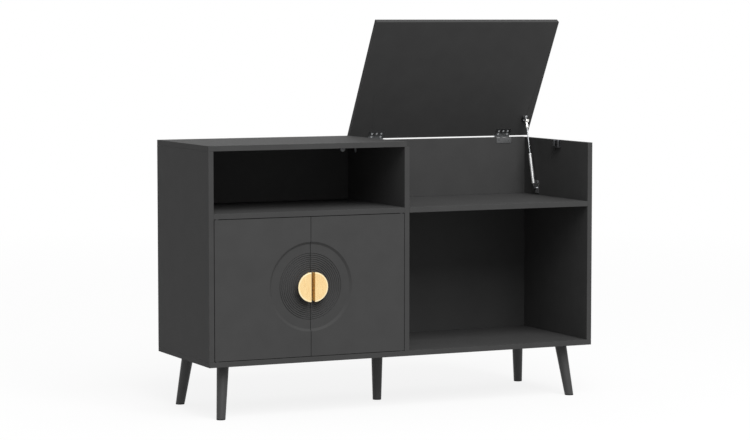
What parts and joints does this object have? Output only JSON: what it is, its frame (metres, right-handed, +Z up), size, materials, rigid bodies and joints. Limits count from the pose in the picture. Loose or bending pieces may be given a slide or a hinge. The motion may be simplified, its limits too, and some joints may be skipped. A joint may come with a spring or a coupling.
{
  "type": "record player stand",
  "caption": "Record player stand: charcoal cabinet on splayed legs, with a cubby over carved doors, a turntable well under a lift-up lid and an open record bay.",
  "frame": {"origin": "on the floor under the centre leg, the middle of the cabinet's width and depth", "axes": "+X to the right seen from the front, +Y to the rear, +Z up"},
  "size_m": [1.2, 0.4259, 1.1013],
  "materials": {
    "board": "matt charcoal melamine",
    "thin_board": "matt charcoal foil",
    "leg_paint": "satin charcoal paint on turned wood",
    "brushed_gold": "brushed and lacquered",
    "zinc": "zinc plated",
    "dark_steel": "dark nickel",
    "strut_chrome": "polished",
    "strut_silver": "silver lacquer",
    "cast_zinc": "die cast",
    "black_plastic": "moulded",
    "grey_plastic": "moulded",
    "grey_rubber": "moulded",
    "black_rubber": "moulded",
    "black_steel": "black powder coat",
    "beech": "plain"
  },
  "bodies": {
    "cabinet": {"left_side_panel": "board", "right_side_panel": "board", "centre_divider": "board", "bottom_panel": "board", "left_top_panel": "board", "cubby_shelf": "board", "turntable_shelf": "board", "cubby_back": "board", "well_back": "board", "cupboard_back": "thin_board", "record_bay_back": "thin_board", "door_pivot_bushes": "black_plastic", "catch_housing": "black_plastic", "catch_magnets": "cast_zinc", "catch_screws": "zinc", "lid_hinge_frame_leaves": "dark_steel", "lid_hinge_pins": "zinc", "lid_hinge_frame_screws": "zinc", "strut_side_bracket": "zinc", "bracket_screws": "zinc", "lid_buffer_housings": "black_plastic", "lid_buffer_pins": "grey_plastic", "lid_buffer_tips": "grey_rubber", "front_left_leg": "leg_paint", "front_right_leg": "leg_paint", "rear_left_leg": "leg_paint", "rear_right_leg": "leg_paint", "centre_leg": "leg_paint", "leg_plates": "black_steel", "leg_plate_screws": "zinc", "leg_bolts": "zinc", "leg_glides": "black_rubber", "cam_locks": "cast_zinc", "cam_bolts": "zinc", "wood_dowels": "beech", "bottom_screws": "zinc"},
    "left_door": {"left_door": "board", "left_handle": "brushed_gold", "left_handle_screws": "zinc", "left_door_pivot_pins": "dark_steel", "left_catch_strike": "zinc"},
    "right_door": {"right_door": "board", "right_handle": "brushed_gold", "right_handle_screws": "zinc", "right_door_pivot_pins": "dark_steel", "right_catch_strike": "zinc"},
    "lid": {"lid_panel": "board", "lid_hinge_lid_leaves": "dark_steel", "lid_hinge_lid_screws": "zinc", "strut_lid_bracket": "black_steel", "strut_ball_stud": "zinc", "strut_lid_screws": "zinc"},
    "strut_rod": {"strut_ball_socket": "zinc", "strut_rod": "strut_chrome", "strut_piston": "cast_zinc"},
    "strut_tube": {"strut_tube": "strut_silver", "strut_gland": "black_plastic", "strut_tube_eye": "black_plastic"}
  },
  "joints": [
    {"name": "left_door_swing", "type": "hinge", "parent": "cabinet", "child": "left_door", "pos_m": [-0.57525, -0.195, 0.362], "axis": [0, 0, -1], "range_deg": [0, 100]},
    {"name": "right_door_swing", "type": "hinge", "parent": "cabinet", "child": "right_door", "pos_m": [-0.01725, -0.195, 0.362], "axis": [0, 0, 1], "range_deg": [0, 100]},
    {"name": "lid_swing", "type": "hinge", "parent": "cabinet", "child": "lid", "pos_m": [0.30025, 0.1995, 0.7468], "axis": [1, 0, 0], "range_deg": [0, 60.5]},
    {"name": "strut_rod_swing", "type": "hinge", "parent": "lid", "child": "strut_rod", "pos_m": [0.574, 0.15665, 0.79552], "axis": [1, 0, 0], "range_deg": [-58.66, 0]},
    {"name": "strut_tube_slide", "type": "slide", "parent": "strut_rod", "child": "strut_tube", "axis": [0, 0.2476, 0.9689], "range_m": [0, 0.06514]}
  ],
  "couplings": [
    {"joint": "strut_rod_swing", "follows": "lid_swing", "ratio": -0.96934},
    {"joint": "strut_tube_slide", "follows": "lid_swing", "m_per_rad": 0.061677}
  ]
}
